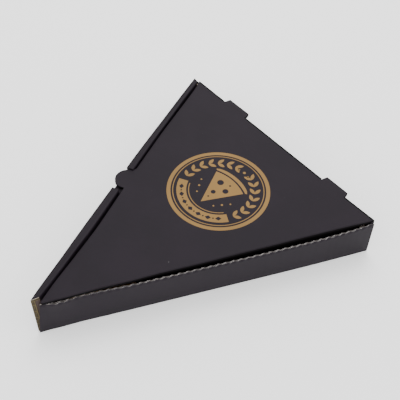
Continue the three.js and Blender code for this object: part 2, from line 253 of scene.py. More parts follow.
def skewed(point):
    """Moves a point with the rear crease, which runs slightly askew."""
    share = min(1, max(0, (SKEW_X[1] - point.x) / (SKEW_X[1] - SKEW_X[0])))
    high = min(1, max(0, point.z / LID_TOP))
    near = min(1, max(0, 1 - (REAR - MIDDLE - point.y) / SKEW_REACH))
    moved = point.y + SKEW_OUT * share * high * near
    return Vector((point.x, min(moved, MIDDLE), point.z))


# Boards

def everything(bm):
    return bm.verts[:] + bm.edges[:] + bm.faces[:]


def only(parts, kind):
    return [part for part in parts if isinstance(part, kind)]


def new_object(name, data):
    thing = bpy.data.objects.new(name, data)
    bpy.context.scene.collection.objects.link(thing)
    return thing


def mesh_from(bm, name, materials=()):
    """Mesh of a finished board, which is given up."""
    mesh = bpy.data.meshes.new(name)
    bm.to_mesh(mesh)
    bm.free()
    for material in materials:
        mesh.materials.append(material)
    return mesh


def close_loops(bm, loops):
    """Fills flat outlines, the first one outer and the others holes in it."""
    edges = []
    for loop in loops:
        verts = [bm.verts.new((a, b, 0)) for a, b in loop]
        edges += [bm.edges.new((verts[i - 1], verts[i])) for i in range(len(verts))]
    bmesh.ops.triangle_fill(bm, use_beauty=True, edges=edges)


def thicken(bm, thickness):
    grown = bmesh.ops.extrude_face_region(bm, geom=bm.faces[:], use_keep_orig=True)
    moved = only(grown["geom"], bmesh.types.BMVert)
    bmesh.ops.translate(bm, verts=moved, vec=(0, 0, thickness))
    bmesh.ops.recalc_face_normals(bm, faces=bm.faces[:])


def lies_on(point, start, end):
    """Whether a flat point lies on the stretch from start to end."""
    run = Vector(end) - Vector(start)
    gone = Vector(point) - Vector(start)
    share = gone.dot(run) / run.length_squared
    return -TINY < share < 1 + TINY and (gone - share * run).length < 5 * TINY


def flat_board(outline, folded=(), holes=(), thickness=BOARD, radius=FOLD_RADIUS, side=PRINT):
    """Board with its printed face at t = 0 and its bare face at t = thickness.

    folded holds the outline edges, each by the number of its end point, that are creases
    and not cuts: the print runs on over them and their printed corner is rounded. side is
    the finish of those edges' faces.
    """
    bm = bmesh.new()
    close_loops(bm, (outline, *holes))
    thicken(bm, thickness)
    creases = [(outline[i - 1], outline[i]) for i in folded]
    rounded = []
    for face in bm.faces:
        middle = face.calc_center_median()
        if abs(face.normal.z) > MOSTLY:
            face.material_index = PRINT if middle.z < thickness / 2 else KRAFT
        elif any(lies_on(middle.xy, *crease) for crease in creases):
            face.material_index = side
            rounded += [e for e in face.edges if all(v.co.z < TINY for v in e.verts)]
        else:
            face.material_index = RAW
    if rounded:
        round_edges(bm, set(rounded), radius)
    return bm


def round_edges(bm, edges, radius):
    # Rounded folds take the crease finish, with its painted shade
    bmesh.ops.bevel(
        bm, geom=list(edges), offset=radius, segments=FOLD_STEPS, profile=0.5,
        affect="EDGES", clamp_overlap=True, material=FOLD,
    )


def trim(bm, point, normal, finish=RAW):
    """Cuts off what lies beyond a plane and closes the cut."""
    cut = bmesh.ops.bisect_plane(
        bm, geom=everything(bm), dist=TINY, plane_co=point, plane_no=normal, clear_outer=True,
    )
    edges = only(cut["geom_cut"], bmesh.types.BMEdge)
    filled = bmesh.ops.triangle_fill(bm, use_beauty=True, edges=edges)
    for face in only(filled["geom"], bmesh.types.BMFace):
        face.material_index = finish


def slice_up(bm, axis, places):
    """Splits the faces at several places along an axis, so that they can bend there."""
    normal = Vector((0, 0, 0))
    normal[axis] = 1
    for place in places:
        bmesh.ops.bisect_plane(
            bm, geom=everything(bm), dist=TINY, plane_co=normal * place, plane_no=normal,
        )


def steps_along(length, count):
    return [length * i / count for i in range(1, count)]


def map_flutes(bm, across, thickness=BOARD):
    """Gives the board's own map: flutes passed, then depth in the board at cut edges."""
    layer = bm.loops.layers.uv.new("board")
    for face in bm.faces:
        for loop in face.loops:
            a, b, t = loop.vert.co
            phase = (a * across[0] + b * across[1]) / FLUTE_PITCH
            along = (b * across[0] - a * across[1]) / FLUTE_PITCH
            loop[layer].uv = (phase, t / thickness if face.material_index == RAW else along)


def fold(bm, place):
    for vert in bm.verts:
        vert.co = place(*vert.co)


def sweep(bm, points, run):
    """Thin sheet that a line through the points leaves as it moves along run."""
    verts = [bm.verts.new(point) for point in points]
    edges = [bm.edges.new(pair) for pair in zip(verts, verts[1:])]
    grown = bmesh.ops.extrude_edge_only(bm, edges=edges)
    bmesh.ops.translate(bm, verts=only(grown["geom"], bmesh.types.BMVert), vec=run)


def carve(bm, low, high):
    """Cuts the box between two corners out of a board that is still flat."""
    materials = [bpy.data.materials.new("carve") for _ in range(FINISH_COUNT)]
    box = bmesh.new()
    bmesh.ops.create_cube(box, size=1)
    bmesh.ops.scale(box, vec=Vector(high) - Vector(low), verts=box.verts)
    bmesh.ops.translate(box, vec=(Vector(high) + Vector(low)) / 2, verts=box.verts)
    body = new_object("carve", mesh_from(bm.copy(), "carve", materials))
    tool = new_object("carve", mesh_from(box, "carve", materials))
    cut = body.modifiers.new("cut", "BOOLEAN")
    cut.operation = "DIFFERENCE"
    cut.solver = "EXACT"
    cut.material_mode = "INDEX"
    cut.object = tool
    graph = bpy.context.evaluated_depsgraph_get()
    done = bpy.data.meshes.new_from_object(body.evaluated_get(graph))
    bm.clear()
    bm.from_mesh(done)
    meshes = (body.data, tool.data, done)
    for thing in (body, tool):
        bpy.data.objects.remove(thing)
    for mesh in meshes:
        bpy.data.meshes.remove(mesh)
    for material in materials:
        bpy.data.materials.remove(material)


def piece(name, bm, body, materials):
    """Makes the finished board a piece that rides on a body."""
    bmesh.ops.recalc_face_normals(bm, faces=bm.faces[:])
    thing = new_object(name, mesh_from(bm, name, materials))
    if body:
        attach(thing, body)
    return thing


# Shading: each noise as scale, detail and roughness, each range as its low and high end

FIBRE_STRETCH = (1.0, 0.25, 1.0)
FIBRE_NOISE = (2600, 3, 0.7)
CLOUD_NOISE = (22, 4, 0.55)
SPECK_NOISE = (420, 2, 0.5)
SPECK_RANGE = (0.735, 0.78)
CRACK_NOISE = (900, 4, 0.7)
CRACK_RANGE = (0.64, 0.76)
SPOT_NOISE = (1500, 2, 0.6)
SPOT_RANGE = (0.66, 0.74)
FRAY_NOISE = (500, 3, 0.6)
CREST_RANGE = (-0.25, 0.4)

# Drawn cut edge, in shares of the board's thickness from its middle
WAVE_SWING = 0.33
WAVE_EDGE = (0.12, 0.05)
LINER_EDGE = (0.32, 0.37)


class Nodes:
    """Adds nodes to the tree of a material or a group and links them."""

    def __init__(self, tree):
        tree.nodes.clear()
        self.new = tree.nodes.new
        self.link = tree.links.new

    def feed(self, socket, value):
        """Gives an input a number, a colour or another node's output."""
        if isinstance(value, (int, float)):
            socket.default_value = value
        elif isinstance(value, tuple):
            socket.default_value = (*value, 1)
        else:
            self.link(value, socket)

    def maths(self, operation, *values):
        node = self.new("ShaderNodeMath")
        node.operation = operation
        for socket, value in zip(node.inputs, values):
            self.feed(socket, value)
        return node.outputs[0]

    def fill(self, node, values):
        for name, value in values.items():
            self.feed(node.inputs[name], value)
        return node

    def noise(self, vector, scale, detail, rough):
        node = self.new("ShaderNodeTexNoise")
        self.fill(node, {"Vector": vector, "Scale": scale, "Detail": detail, "Roughness": rough})
        return node.outputs["Fac"]

    def ramp(self, value, low, high):
        """0 at low, 1 at high and smooth between."""
        node = self.new("ShaderNodeMapRange")
        node.interpolation_type = "SMOOTHSTEP"
        self.fill(node, {"Value": value, "From Min": low, "From Max": high})
        return node.outputs["Result"]

    def blend(self, share, first, second):
        """Colour that goes from the first to the second with share."""
        node = self.new("ShaderNodeMix")
        node.data_type = "RGBA"
        self.link(share, node.inputs[0])
        colours = [socket for socket in node.inputs if socket.type == "RGBA"]
        for socket, value in zip(colours, (first, second)):
            self.feed(socket, value)
        return next(socket for socket in node.outputs if socket.type == "RGBA")

    def parts(self, vector):
        node = self.new("ShaderNodeSeparateXYZ")
        self.link(vector, node.inputs[0])
        return node.outputs


def make_group(name, socket, results):
    """Node group with one vector input: its tree, maker, input and result sockets."""
    tree = bpy.data.node_groups.new(name, "ShaderNodeTree")
    tree.interface.new_socket(socket, in_out="INPUT", socket_type="NodeSocketVector")
    for result in results:
        tree.interface.new_socket(result, in_out="OUTPUT", socket_type="NodeSocketFloat")
    nodes = Nodes(tree)
    source = nodes.new("NodeGroupInput")
    sink = nodes.new("NodeGroupOutput")
    return tree, nodes, source.outputs[socket], sink.inputs


def paper_group():
    """Cloudy tone, fine fibres and sparse specks of paper, from object coordinates."""
    tree, nodes, vector, sink = make_group("paper", "Vector", ("Cloud", "Fibre", "Speck"))
    stretch = nodes.new("ShaderNodeMapping")
    stretch.inputs["Scale"].default_value = FIBRE_STRETCH
    nodes.link(vector, stretch.inputs["Vector"])
    nodes.link(nodes.noise(vector, *CLOUD_NOISE), sink["Cloud"])
    nodes.link(nodes.noise(stretch.outputs["Vector"], *FIBRE_NOISE), sink["Fibre"])
    nodes.link(nodes.ramp(nodes.noise(vector, *SPECK_NOISE), *SPECK_RANGE), sink["Speck"])
    return tree


def flute_group():
    """Washboard ripple that the flutes press through the liner, from the board's map."""
    tree, nodes, chart, sink = make_group("flute_ripple", "Map", ("Height",))
    turn = nodes.maths("MULTIPLY", nodes.parts(chart)["X"], 2 * math.pi)
    nodes.link(nodes.maths("COSINE", turn), sink["Height"])
    return tree


PAPER = paper_group()
RIPPLE = flute_group()


class Finish(Nodes):
    """A material with its shader, and the paper and the flutes' ripple of its surface."""

    def __init__(self, name):
        self.made = bpy.data.materials.new(name)
        self.made.use_nodes = True
        super().__init__(self.made.node_tree)
        out = self.new("ShaderNodeOutputMaterial")
        self.shader = self.new("ShaderNodeBsdfPrincipled")
        self.link(self.shader.outputs[0], out.inputs["Surface"])
        self.where = self.new("ShaderNodeTexCoord").outputs["Object"]
        paper = self.new("ShaderNodeGroup")
        paper.node_tree = PAPER
        self.link(self.where, paper.inputs["Vector"])
        self.paper = paper.outputs
        chart = self.new("ShaderNodeUVMap")
        chart.uv_map = "board"
        self.chart = chart.outputs[0]
        ripple = self.new("ShaderNodeGroup")
        ripple.node_tree = RIPPLE
        self.link(self.chart, ripple.inputs["Map"])
        self.ripple = ripple.outputs["Height"]

    def look(self, colour, roughness, gloss=0.5):
        values = {"Base Color": colour, "Roughness": roughness, "Specular IOR Level": gloss}
        self.fill(self.shader, values)

    def relief(self, height, strength, distance):
        node = self.new("ShaderNodeBump")
        self.fill(node, {"Height": height, "Strength": strength, "Distance": distance})
        self.link(node.outputs[0], self.shader.inputs["Normal"])

    def washboard(self, ripple_share):
        """Height of the paper's fibres with the ripple of the flutes below."""
        fine = self.maths("MULTIPLY", self.paper["Fibre"], 0.35)
        return self.maths("ADD", fine, self.maths("MULTIPLY", self.ripple, ripple_share))


BLACK_DARK = (0.0078, 0.005, 0.0084)
BLACK_LIGHT = (0.0116, 0.008, 0.0122)
BLACK_GLOSS = 0.13
# Painted shade: darker black for creases and for the gap beside the lid
CREASE_SHADE_BLACK = (0.002, 0.0018, 0.002)
GAP_SHADE_BLACK = (0.0028, 0.0022, 0.0028)
GAP_GLOSS = 0.05
SCUFF = (0.07, 0.066, 0.07)
KRAFT_DARK = (0.33, 0.2, 0.1)
KRAFT_LIGHT = (0.5, 0.335, 0.185)
KRAFT_SPECK = (0.17, 0.1, 0.05)
CUT_LIGHT = (0.46, 0.4, 0.34)
# Painted shade: the colours of the flutes' hollows in cut edges, and of the torn edge between its crests
CUT_HOLLOW_SHADE = (0.07, 0.05, 0.035)
EDGE_HOLLOW_SHADE = (0.12, 0.104, 0.098)
EDGE_PALE = (0.58, 0.54, 0.525)
TIP_LIGHT = (0.105, 0.078, 0.03)
OUTER_LINER_SHARE = 0.16
# Painted shade in the flutes' hollows at the tip
TIP_HOLLOW_SHADE = (0.04, 0.027, 0.011)
# A darker copy of the cut edge, as painted shade
SHADED_CUT_PAPER = (0.055, 0.034, 0.03)
SHADED_CUT_HOLLOW = (0.025, 0.015, 0.014)
INK_GAP = (0.25, 0.147, 0.05)
INK_GAP_DARK = (0.19, 0.111, 0.038)
PRINT_RELIEF = 0.1 * MM
KRAFT_RELIEF = 0.12 * MM
EDGE_RELIEF = 0.4 * MM


def black_print():
    """Flat black ink on the kraft liner."""
    nodes = Finish("black_print")
    tone = nodes.blend(nodes.ramp(nodes.paper["Cloud"], 0.3, 0.7), BLACK_DARK, BLACK_LIGHT)
    worn = nodes.maths("MULTIPLY", nodes.paper["Speck"], 0.12)
    rough = nodes.maths("MULTIPLY_ADD", nodes.paper["Cloud"], 0.16, 0.5)
    nodes.look(nodes.blend(worn, tone, SCUFF), rough, BLACK_GLOSS)
    nodes.relief(nodes.washboard(0.5), 0.25, PRINT_RELIEF)
    return nodes.made


def crease_print_and_shade():
    """Black print stretched over a fold, painted darker than the flat print as shade in the fold, with a
    few fine cracks of wear.
    """
    nodes = Finish("crease_print_and_shade")
    crack = nodes.ramp(nodes.noise(nodes.where, *CRACK_NOISE), *CRACK_RANGE)
    share = nodes.maths("MULTIPLY", crack, 0.6)
    nodes.look(nodes.blend(share, CREASE_SHADE_BLACK, SCUFF), 0.7, GAP_GLOSS)
    nodes.relief(nodes.paper["Fibre"], 0.3, PRINT_RELIEF)
    return nodes.made


def gap_painted_shade():
    """Black print with painted shade inside the narrow gap beside the lid, darkest up to the lid's edge.
    """
    nodes = Finish("gap_painted_shade")
    height = nodes.parts(nodes.where)["Z"]
    # Painted shade: the print darkens towards the lid's edge
    shade_share = nodes.ramp(height, LID_TOP - FLAP_DEPTH, LID_TOP - 3 * BOARD)
    nodes.look(nodes.blend(shade_share, BLACK_LIGHT, GAP_SHADE_BLACK), 0.8, GAP_GLOSS)
    nodes.relief(nodes.washboard(0.5), 0.25, PRINT_RELIEF)
    return nodes.made


def bare_kraft():
    """Brown liner of the inside, clouded and flecked."""
    nodes = Finish("bare_kraft")
    tone = nodes.blend(nodes.ramp(nodes.paper["Cloud"], 0.25, 0.75), KRAFT_DARK, KRAFT_LIGHT)
    flecks = nodes.maths("MULTIPLY", nodes.paper["Speck"], 0.6)
    nodes.look(nodes.blend(flecks, tone, KRAFT_SPECK), 0.85)
    nodes.relief(nodes.washboard(0.9), 0.35, KRAFT_RELIEF)
    return nodes.made


def raw_edge(name, light, hollow_shade, liner):
    """Cut edge: two liners with the flutes' wave between them, and painted shade in the flutes' hollows.
    """
    nodes = Finish(name)
    chart = nodes.parts(nodes.chart)
    turn = nodes.maths("MULTIPLY", chart["X"], 2 * math.pi)
    wave = nodes.maths("MULTIPLY", nodes.maths("SINE", turn), WAVE_SWING)
    middle = nodes.maths("SUBTRACT", chart["Y"], 0.5)
    off_wave = nodes.maths("ABSOLUTE", nodes.maths("SUBTRACT", middle, wave))
    on_wave = nodes.ramp(off_wave, *WAVE_EDGE)
    on_liner = nodes.ramp(nodes.maths("ABSOLUTE", middle), *LINER_EDGE)
    paper_here = nodes.maths("MAXIMUM", on_wave, on_liner)
    outer = nodes.ramp(chart["Y"], OUTER_LINER_SHARE, OUTER_LINER_SHARE / 2)
    # Paper where the wave or a liner lies, painted shade in the flutes' hollows elsewhere
    nodes.look(nodes.blend(outer, nodes.blend(paper_here, hollow_shade, light), liner), 0.9)
    nodes.relief(paper_here, 0.5, EDGE_RELIEF)
    return nodes.made


def edge_liner():
    """Torn edge of the right wall, pale paper on each crest of its wave, with painted shade between the
    crests and fraying in its tone.
    """
    nodes = Finish("edge_liner")
    fray = nodes.maths("MULTIPLY", nodes.noise(nodes.where, *FRAY_NOISE), 0.6)
    wave = nodes.maths("MULTIPLY_ADD", nodes.ripple, 0.35, fray)
    nodes.look(nodes.blend(nodes.ramp(wave, *CREST_RANGE), EDGE_HOLLOW_SHADE, EDGE_PALE), 0.9)
    return nodes.made


def badge_kraft():
    """Kraft left bare by the print, with the ink's spotty edge."""
    nodes = Finish("badge_kraft")
    spots = nodes.ramp(nodes.noise(nodes.where, *SPOT_NOISE), *SPOT_RANGE)
    tone = nodes.blend(nodes.paper["Cloud"], INK_GAP_DARK, INK_GAP)
    nodes.look(nodes.blend(spots, tone, KRAFT_SPECK), 0.75, BLACK_GLOSS)
    nodes.relief(nodes.paper["Fibre"], 0.2, PRINT_RELIEF)
    return nodes.made


BLACK = black_print()
CREASE = crease_print_and_shade()
BARE = bare_kraft()
CUT = raw_edge("raw_edge", CUT_LIGHT, CUT_HOLLOW_SHADE, CUT_LIGHT)
TIP_CUT = raw_edge("raw_tip_edge", TIP_LIGHT, TIP_HOLLOW_SHADE, CUT_LIGHT)
# Cut edge painted darker as shade, for the walls' shaded ends and the faces inside them
SHADED_CUT = raw_edge("raw_edge_painted_shade", SHADED_CUT_PAPER, SHADED_CUT_HOLLOW, SHADED_CUT_PAPER)
EDGE_LINER = edge_liner()
BADGE = badge_kraft()
# The last finish in each list is painted shade, and the crease finish carries painted shade too
BOARD_FINISH = (BLACK, BARE, CUT, CREASE, gap_painted_shade())
TIP_FINISH = (BLACK, BARE, TIP_CUT, CREASE, SHADED_CUT)
RIGHT_FINISH = (BLACK, BARE, EDGE_LINER, CREASE, SHADED_CUT)


def plain(name, colour):
    """Material of one colour, with its shader's inputs."""
    made = bpy.data.materials.new(name)
    made.use_nodes = True
    inputs = made.node_tree.nodes["Principled BSDF"].inputs
    inputs["Base Color"].default_value = (*colour, 1)
    return made, inputs


# Tray

def floor_panel():
    """Floor with its sides following the walls' feet, and a slot for each locking tab."""
    rear_y = REAR - FLOOR_EDGE - MIDDLE
    half = ((REAR - FLOOR_EDGE) * SIN - FLOOR_EDGE) / COS
    tip_y = FLOOR_EDGE / SIN - MIDDLE
    feet = {}
    for side in (RIGHT, LEFT):
        foot = [wall_point(side, s, FLOOR_EDGE, 0) for s in steps_along(SIDE, BOW_STEPS)]
        feet[side] = [tuple(p.xy) for p in foot if tip_y < p.y < rear_y - BOARD]
    outline = [(0, tip_y), *feet[RIGHT], (half, rear_y), (-half, rear_y), *reversed(feet[LEFT])]
    holes = []
    reach = LOCK_LENGTH / 2 + LOCK_CLEARANCE
    for s in LOCK_PLACES:
        outer = ROLL_WIDTH - BOARD - LOCK_CLEARANCE - bow(LEFT, s, 0)
        inner = ROLL_WIDTH + LOCK_CLEARANCE - bow(LEFT, s, 0)
        corners = ((s - reach, outer), (s + reach, outer), (s + reach, inner), (s - reach, inner))
        holes.append([tuple(plan(LEFT, along, w).xy) for along, w in corners])
    bm = flat_board(outline, holes=holes)
    map_flutes(bm, ACROSS_FLOOR)
    fold(bm, lambda x, y, t: Vector((x, y, t + SKIN)))
    piece("floor_panel", bm, "tray", BOARD_FINISH)


def foot_curl(z):
    """How far a wall's foot curls inwards to meet the floor."""
    if z >= FOOT_RADIUS:
        return 0
    return FOOT_RADIUS - math.sqrt(FOOT_RADIUS ** 2 - (FOOT_RADIUS - z) ** 2)


def crushed(s, w, z):
    """Place in the right wall's board once its raw edge is crushed."""
    near_top = max(0, 1 - (RIGHT_TOP - z) / CRUSH_DEPTH)
    squeeze = near_top * near_top * (3 - 2 * near_top)
    wave = CRUSH_WAVE * math.sin(2 * math.pi * s / FLUTE_PITCH)
    thin = w * read_off(CRUSH_WIDTH, s) / BOARD + CRUSH_WAVE + wave
    return w + (thin - w) * squeeze


def right_point(s, w, z):
    """Where a point of the right wall's board comes to stand, with its edge crushed and sunk."""
    sunk = z - read_off(CRUSH_SAG, s) * (z / RIGHT_TOP) ** 2
    return wall_point(RIGHT, s, crushed(s, w, z), sunk)


def slice_top(bm, axis):
    """Lets the right wall's upper part bend where it is crushed and flares."""
    slice_up(bm, axis, [RIGHT_TOP - CRUSH_DEPTH * share for share in CRUSH_SLICES])
    slice_up(bm, axis, [RIGHT_TOP - FLARE_DEPTH * share for share in FLARE_SLICES])


def right_liner(name, low, w, finish):
    """One liner of the right wall, with its slanted end at the tip."""
    end = SIDE - w * CORNER_MITRE
    start = END_START + (END_CUT - END_START) * low / RIGHT_TOP
    outline = [(start, low), (end, low), (end, RIGHT_TOP), (END_CUT, RIGHT_TOP)]
    bm = flat_board(outline, thickness=LINER)
    # The liner's end at the tip takes painted shade; its top and foot keep the torn edge's finish
    for face in bm.faces:
        if face.material_index != RAW or face.normal.x > SQUARELY:
            face.material_index = finish
        elif face.normal.x < -MOSTLY:
            face.material_index = SHADE
    slice_up(bm, 0, steps_along(SIDE, int(SIDE / FLUTE_PITCH * FLUTE_STEPS / 2)))
    slice_up(bm, 1, [FOOT_RADIUS * share for share in FOOT_SLICES])
    # The foot's rounding takes the crease finish, painted shade along the wall's foot
    for face in bm.faces:
        if face.material_index == PRINT and face.calc_center_median().y < FOOT_RADIUS:
            face.material_index = FOLD
    slice_top(bm, 1)
    # The inner liner gets painted shade at its ends and towards the flutes
    if finish == KRAFT:
        paint_shade_on_ends(bm)
    map_flutes(bm, ACROSS_RIGHT, LINER)

    def place(s, z, t):
        tapered = s - t * CORNER_MITRE * (s / SIDE) ** MITRE_SHARPNESS
        return right_point(tapered, w + t + foot_curl(z), z)
    fold(bm, place)
    piece(name, bm, "tray", RIGHT_FINISH)


def paint_shade_on_ends(bm):
    """Painted shade on the inner liner where it shows at the tip, in the rear corner and by the flutes.
    """
    for face in bm.faces:
        middle = face.calc_center_median()
        corner_in_shade = middle.x > SIDE - SHADE_REAR_LENGTH and middle.y > RIGHT_TOP - CRUSH_DEPTH
        if middle.x < SHADE_TIP_LENGTH or corner_in_shade or face.normal.z < -MOSTLY:
            face.material_index = SHADE


def right_flutes():
    """The corrugated sheet between the right wall's liners."""
    bm = bmesh.new()
    count = int((SIDE - BOARD * CORNER_MITRE) / FLUTE_PITCH * FLUTE_STEPS)
    swing = (BOARD - 2 * LINER - FLUTE_PAPER) / 2
    line = []
    for i in range(count + 1):
        s = i * FLUTE_PITCH / FLUTE_STEPS
        line.append((s, BOARD / 2 + swing * math.sin(2 * math.pi * s / FLUTE_PITCH), BOARD))
    sweep(bm, line, (0, 0, RIGHT_TOP - BOARD - FLUTE_DROP))
    bmesh.ops.solidify(bm, geom=bm.faces[:], thickness=FLUTE_PAPER)
    bmesh.ops.recalc_face_normals(bm, faces=bm.faces[:])
    lean = Vector((-RIGHT_TOP, 0, END_CUT - END_START)).normalized()
    trim(bm, (END_START + FLUTE_SET_BACK, 0, 0), lean)
    # The flutes' sides between the liners, and their end at the tip, take painted shade
    for face in bm.faces:
        beyond_end = face.calc_center_median().x < END_CUT
        face.material_index = SHADE if beyond_end or abs(face.normal.z) < SQUARELY else RAW
    slice_top(bm, 2)
    map_flutes(bm, ACROSS_RIGHT)
    fold(bm, right_point)
    piece("right_wall_flutes", bm, "tray", RIGHT_FINISH)


def rolled_board():
    """The left wall's board rolled over and straight: s along the side, w in from it and z up."""
    inner = ROLL_WIDTH - BOARD
    low = BOARD + ROLL_LIFT
    under = ROLL_TOP - BOARD
    profile = [
        (0, 0), (0, ROLL_TOP), (ROLL_WIDTH, ROLL_TOP), (ROLL_WIDTH, low),
        (inner, low), (inner, under), (BOARD, under), (BOARD, 0),
    ]
    # Faces inside the roll, between its two layers, take painted shade
    finishes = {0: PRINT, 1: PRINT, 2: PRINT, 4: SHADE, 5: SHADE, 6: SHADE}
    bm = bmesh.new()
    close_loops(bm, [profile])
    thicken(bm, SIDE + ROLL_WIDTH)
    for face in bm.faces:
        middle = face.calc_center_median().xy
        face.material_index = RAW
        for start, finish in finishes.items():
            on_side = lies_on(middle, profile[start], profile[start + 1])
            if on_side and abs(face.normal.z) < MOSTLY:
                face.material_index = finish
    turn = Matrix(((0, 0, 1), (1, 0, 0), (0, 1, 0)))
    bmesh.ops.transform(bm, matrix=turn.to_4x4(), verts=bm.verts)
    bmesh.ops.recalc_face_normals(bm, faces=bm.faces[:])
    rounded = ((0, 0, FOOT_RADIUS), (0, ROLL_TOP, ROLL_FOLD_RADIUS), (ROLL_WIDTH, ROLL_TOP, STRIP_RADIUS))
    for w, z, radius in rounded:
        edges = [
            e for e in bm.edges
            if all(abs(v.co.y - w) < TINY and abs(v.co.z - z) < TINY for v in e.verts)
        ]
        round_edges(bm, edges, radius)
    for face in bm.faces:
        if face.material_index == FOLD and face.calc_center_median().y > BOARD:
            face.material_index = PRINT
    return bm


def map_rolled(bm):
    """Gives the rolled board its map, with the depth from the outside at the ends of its layers."""
    under = ROLL_TOP - BOARD
    layer = bm.loops.layers.uv.new("board")
    for face in bm.faces:
        middle = face.calc_center_median()
        for loop in face.loops:
            s, w, z = loop.vert.co
            phase = (s * ACROSS_LEFT[0] + z * ACROSS_LEFT[1]) / FLUTE_PITCH
            along = (z * ACROSS_LEFT[0] - s * ACROSS_LEFT[1]) / FLUTE_PITCH
            if middle.z > under:
                depth = (ROLL_TOP - z) / BOARD
            elif middle.y < BOARD:
                depth = max(OUTER_LINER_SHARE, w / BOARD)
            else:
                depth = max(OUTER_LINER_SHARE, (ROLL_WIDTH - w) / BOARD)
            loop[layer].uv = (phase, depth if face.material_index == RAW else along)


def left_wall():
    """Rolled-over wall: one board up, across and down again, notched for the thumb tab."""
    under = ROLL_TOP - BOARD
    bm = rolled_board()
    carve(
        bm, (THUMB_S - THUMB_RADIUS - NOTCH_SIDE, -BOARD, LID_TOP - BOARD - LID_REST),
        (THUMB_S + THUMB_RADIUS + LID_REST, ROLL_WIDTH + BOARD, ROLL_TOP + BOARD),
    )
    trim(bm, (ROLL_END_START, 0, 0), Vector((-1, ROLL_END_SLANT, 0)).normalized())
    trim(bm, (SIDE, 0, 0), (COS, SIN, 0))
    for face in bm.faces:
        end = face.calc_center_median()
        if face.normal.x > SQUARELY and end.y < BOARD and end.z < under:
            face.material_index = PRINT
    slice_up(bm, 0, steps_along(SIDE, BOW_STEPS))
    slice_up(bm, 1, [BOARD, ROLL_WIDTH - BOARD])
    slice_up(bm, 2, [under])
    # The end at the tip, inward of the outer layer and under the strip, takes painted shade
    for face in bm.faces:
        end = face.calc_center_median()
        if face.normal.x < -MOSTLY and end.y > BOARD and end.z < under:
            face.material_index = SHADE
    map_rolled(bm)

    def place(s, w, z):
        squeeze = 1 + (read_off(ROLL_SQUEEZE, s) - 1) * z / ROLL_TOP
        placed = wall_point(LEFT, s, w * squeeze, z)
        placed.y = max(placed.y, -MIDDLE)
        return placed
    fold(bm, place)
    piece("left_rolled_wall", bm, "tray", TIP_FINISH)


def lock_tabs():
    """Ends of the rolled wall's inner layer, pushed through the floor's slots."""
    for number, s in enumerate(LOCK_PLACES, 1):
        reach = LOCK_LENGTH / 2
        low = LOCK_CLEARANCE
        outline = [
            (s - reach + BOARD / 2, low), (s + reach - BOARD / 2, low),
            (s + reach, BOARD + ROLL_LIFT), (s - reach, BOARD + ROLL_LIFT),
        ]
        bm = flat_board(outline)
        map_flutes(bm, ACROSS_LEFT)
        fold(bm, lambda along, z, t: wall_point(LEFT, along, ROLL_WIDTH - t, z))
        piece(f"lock_tab_{number}", bm, "tray", BOARD_FINISH)


def rear_wall():
    """Wall under the hinge crease, with a slot where each rear tab was cut out of it."""
    half = REAR_WIDTH / 2
    top = LID_TOP - HINGE_GAP
    under_strip = ROLL_TOP - BOARD - LID_REST
    strip_end = -(REAR * SIN - ROLL_WIDTH - LID_REST) / COS
    outline = [(-half, 0), (-half, under_strip), (strip_end, under_strip), (strip_end, top)]
    for middle, width, _ in REAR_TABS:
        reach = width / 2 + TAB_SLOT_SIDE
        outline += [
            (middle - reach, top), (middle - reach, TAB_SLOT_LOW),
            (middle + reach, TAB_SLOT_LOW), (middle + reach, top),
        ]
    outline += [(half, top), (half, 0)]
    bm = flat_board(outline, folded=(0,), radius=FOOT_RADIUS)
    left = plan(LEFT, *LID_LEFT_REAR).x
    right = plan(RIGHT, *LID_RIGHT[0]).x - 2 * BOARD
    slice_up(bm, 0, [left, right])
    # Painted shade on the top beyond the lid's corners and on the inner face in the right corner
    for face in bm.faces:
        middle = face.calc_center_median()
        shaded_inner_corner = face.normal.z > MOSTLY and middle.x > right
        if shaded_inner_corner or face.normal.y > SQUARELY and not left < middle.x < right:
            face.material_index = SHADE
        elif face.normal.y > SQUARELY and middle.y > top - TINY:
            face.material_index = KRAFT
    # The crease's mitre leans the top inwards and down, then the ends fit the side walls
    for vert in bm.verts:
        if vert.co.z > BOARD - TINY and abs(vert.co.y - top) < TINY:
            vert.co.y -= BOARD
    trim(bm, ((REAR * SIN - LEDGE) / COS, 0, 0), (COS, 0, SIN), PRINT)
    trim(bm, (-(REAR * SIN - BOARD) / COS, 0, 0), (-COS, 0, SIN))
    map_flutes(bm, ACROSS_FLOOR)
    slice_up(bm, 0, [0])
    fold(bm, lambda x, z, t: skewed(Vector((x, REAR - t - MIDDLE, z))))
    piece("rear_wall", bm, "tray", BOARD_FINISH)


def corner_flaps():
    """Flaps on the ends of the side walls, tucked behind the rear wall."""
    back = REAR - BOARD - CORNER_FLAP_GAP
    for side, name in ((LEFT, "corner_flap_left"), (RIGHT, "corner_flap_right")):
        outer = (back * SIN - BOARD) / COS
        inner = REAR_WIDTH / 2 - CORNER_FLAP_LENGTH
        low = BOARD + CORNER_FLAP_GAP
        high = TAB_SLOT_LOW - CORNER_FLAP_DROP
        outline = [
            (outer, low), (inner + CORNER_FLAP_SLANT, low), (inner, low + CORNER_FLAP_SLANT),
            (inner, high - CORNER_FLAP_SLANT), (inner + CORNER_FLAP_SLANT, high), (outer, high),
        ]
        bm = flat_board(outline)
        map_flutes(bm, ACROSS_FLOOR)
        fold(bm, lambda x, z, t: Vector((side * (x - t * SIN / COS), back - t - MIDDLE, z)))
        piece(name, bm, "tray", BOARD_FINISH)


# Lid

